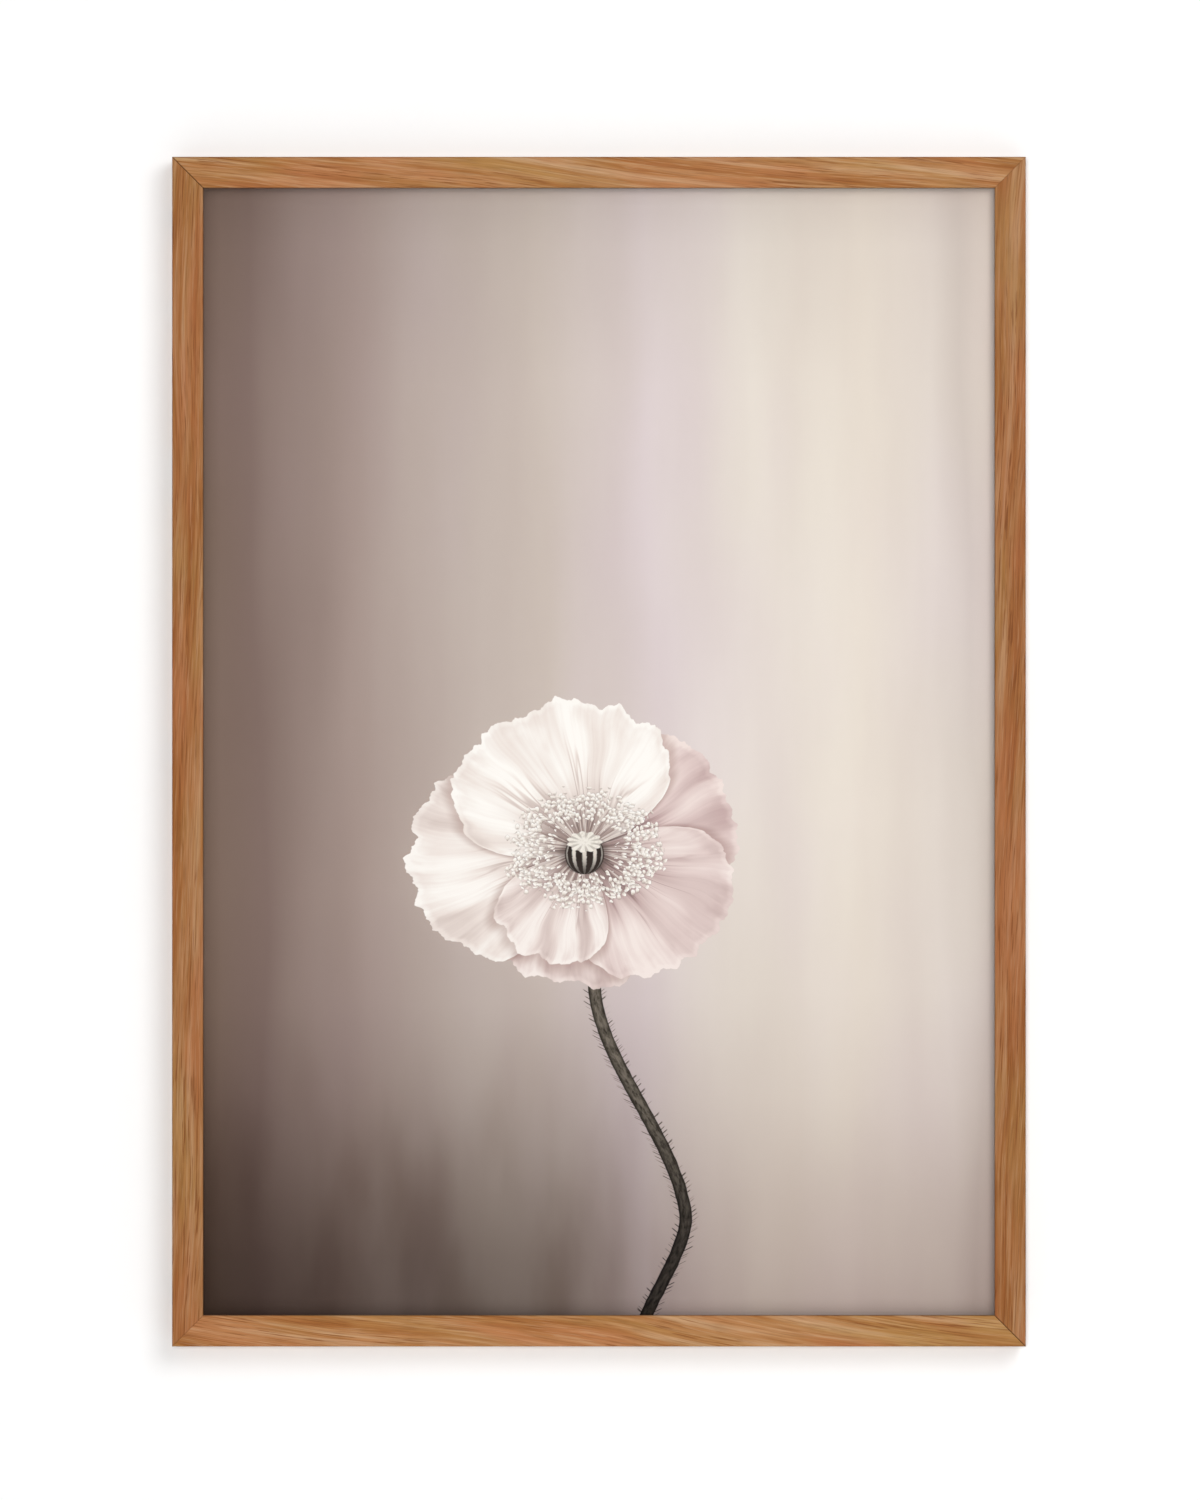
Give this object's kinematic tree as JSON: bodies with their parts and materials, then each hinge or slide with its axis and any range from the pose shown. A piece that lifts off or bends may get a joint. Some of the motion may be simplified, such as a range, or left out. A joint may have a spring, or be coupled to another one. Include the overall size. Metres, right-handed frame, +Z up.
{
  "type": "framed picture",
  "caption": "Flat-faced oak picture frame with mitred corners, a glazed botanical print, and turn buttons, D rings and bumpers on its back.",
  "frame": {"origin": "on the wall plane, midway between the pivots of the two D rings that hold the frame up", "axes": "+X to the right as seen from the front, +Y from the front towards the wall, +Z up"},
  "size_m": [0.442, 0.025, 0.616],
  "materials": {
    "oak": "oiled, satin",
    "glass": "clear",
    "print": "matte art paper",
    "filler": "matte white",
    "backing": "smooth fibreboard",
    "nail_steel": "bare",
    "zinc_steel": "zinc plated",
    "screw_steel": "zinc plated",
    "ring_wire": "nickel plated",
    "bumper": "soft, matte"
  },
  "bodies": {
    "frame": {"rail_top": "oak", "rail_bottom": "oak", "stile_left": "oak", "stile_right": "oak", "glass": "glass", "art_print": "print", "filler_board": "filler", "backing_board": "backing", "v_nail_top_left_outer": "nail_steel", "v_nail_top_left_inner": "nail_steel", "v_nail_top_right_outer": "nail_steel", "v_nail_top_right_inner": "nail_steel", "v_nail_bottom_left_outer": "nail_steel", "v_nail_bottom_left_inner": "nail_steel", "v_nail_bottom_right_outer": "nail_steel", "v_nail_bottom_right_inner": "nail_steel", "button_screw_left_upper": "screw_steel", "button_screw_left_middle": "screw_steel", "button_screw_left_lower": "screw_steel", "button_screw_right_upper": "screw_steel", "button_screw_right_middle": "screw_steel", "button_screw_right_lower": "screw_steel", "button_screw_top": "screw_steel", "button_screw_bottom": "screw_steel", "strap_hanger_left": "zinc_steel", "hanger_screw_left": "screw_steel", "strap_hanger_right": "zinc_steel", "hanger_screw_right": "screw_steel", "bumper_top_left": "bumper", "bumper_top_right": "bumper", "bumper_bottom_left": "bumper", "bumper_bottom_right": "bumper"},
    "turn_button_left_upper": {"turn_button_left_upper": "zinc_steel"},
    "turn_button_left_middle": {"turn_button_left_middle": "zinc_steel"},
    "turn_button_left_lower": {"turn_button_left_lower": "zinc_steel"},
    "turn_button_right_upper": {"turn_button_right_upper": "zinc_steel"},
    "turn_button_right_middle": {"turn_button_right_middle": "zinc_steel"},
    "turn_button_right_lower": {"turn_button_right_lower": "zinc_steel"},
    "turn_button_top": {"turn_button_top": "zinc_steel"},
    "turn_button_bottom": {"turn_button_bottom": "zinc_steel"},
    "d_ring_left": {"d_ring_left": "ring_wire"},
    "d_ring_right": {"d_ring_right": "ring_wire"}
  },
  "joints": [
    {"name": "turn_left_upper", "type": "hinge", "parent": "frame", "child": "turn_button_left_upper", "pos_m": [-0.216, -0.005, 0.076], "axis": [0, 1, 0], "range_deg": [-90, 90]},
    {"name": "turn_left_middle", "type": "hinge", "parent": "frame", "child": "turn_button_left_middle", "pos_m": [-0.216, -0.005, -0.154], "axis": [0, 1, 0], "range_deg": [-90, 90]},
    {"name": "turn_left_lower", "type": "hinge", "parent": "frame", "child": "turn_button_left_lower", "pos_m": [-0.216, -0.005, -0.384], "axis": [0, 1, 0], "range_deg": [-90, 90]},
    {"name": "turn_right_upper", "type": "hinge", "parent": "frame", "child": "turn_button_right_upper", "pos_m": [0.216, -0.005, 0.076], "axis": [0, 1, 0], "range_deg": [-90, 90]},
    {"name": "turn_right_middle", "type": "hinge", "parent": "frame", "child": "turn_button_right_middle", "pos_m": [0.216, -0.005, -0.154], "axis": [0, 1, 0], "range_deg": [-90, 90]},
    {"name": "turn_right_lower", "type": "hinge", "parent": "frame", "child": "turn_button_right_lower", "pos_m": [0.216, -0.005, -0.384], "axis": [0, 1, 0], "range_deg": [-90, 90]},
    {"name": "turn_top", "type": "hinge", "parent": "frame", "child": "turn_button_top", "pos_m": [0, -0.005, 0.149], "axis": [0, 1, 0], "range_deg": [-90, 90]},
    {"name": "turn_bottom", "type": "hinge", "parent": "frame", "child": "turn_button_bottom", "pos_m": [0, -0.005, -0.457], "axis": [0, 1, 0], "range_deg": [-90, 90]},
    {"name": "ring_swing_left", "type": "hinge", "parent": "frame", "child": "d_ring_left", "pos_m": [-0.215, -0.00335, 0], "axis": [1, 0, 0], "range_deg": [0, 175.7]},
    {"name": "ring_swing_right", "type": "hinge", "parent": "frame", "child": "d_ring_right", "pos_m": [0.215, -0.00335, 0], "axis": [1, 0, 0], "range_deg": [0, 175.7]}
  ]
}
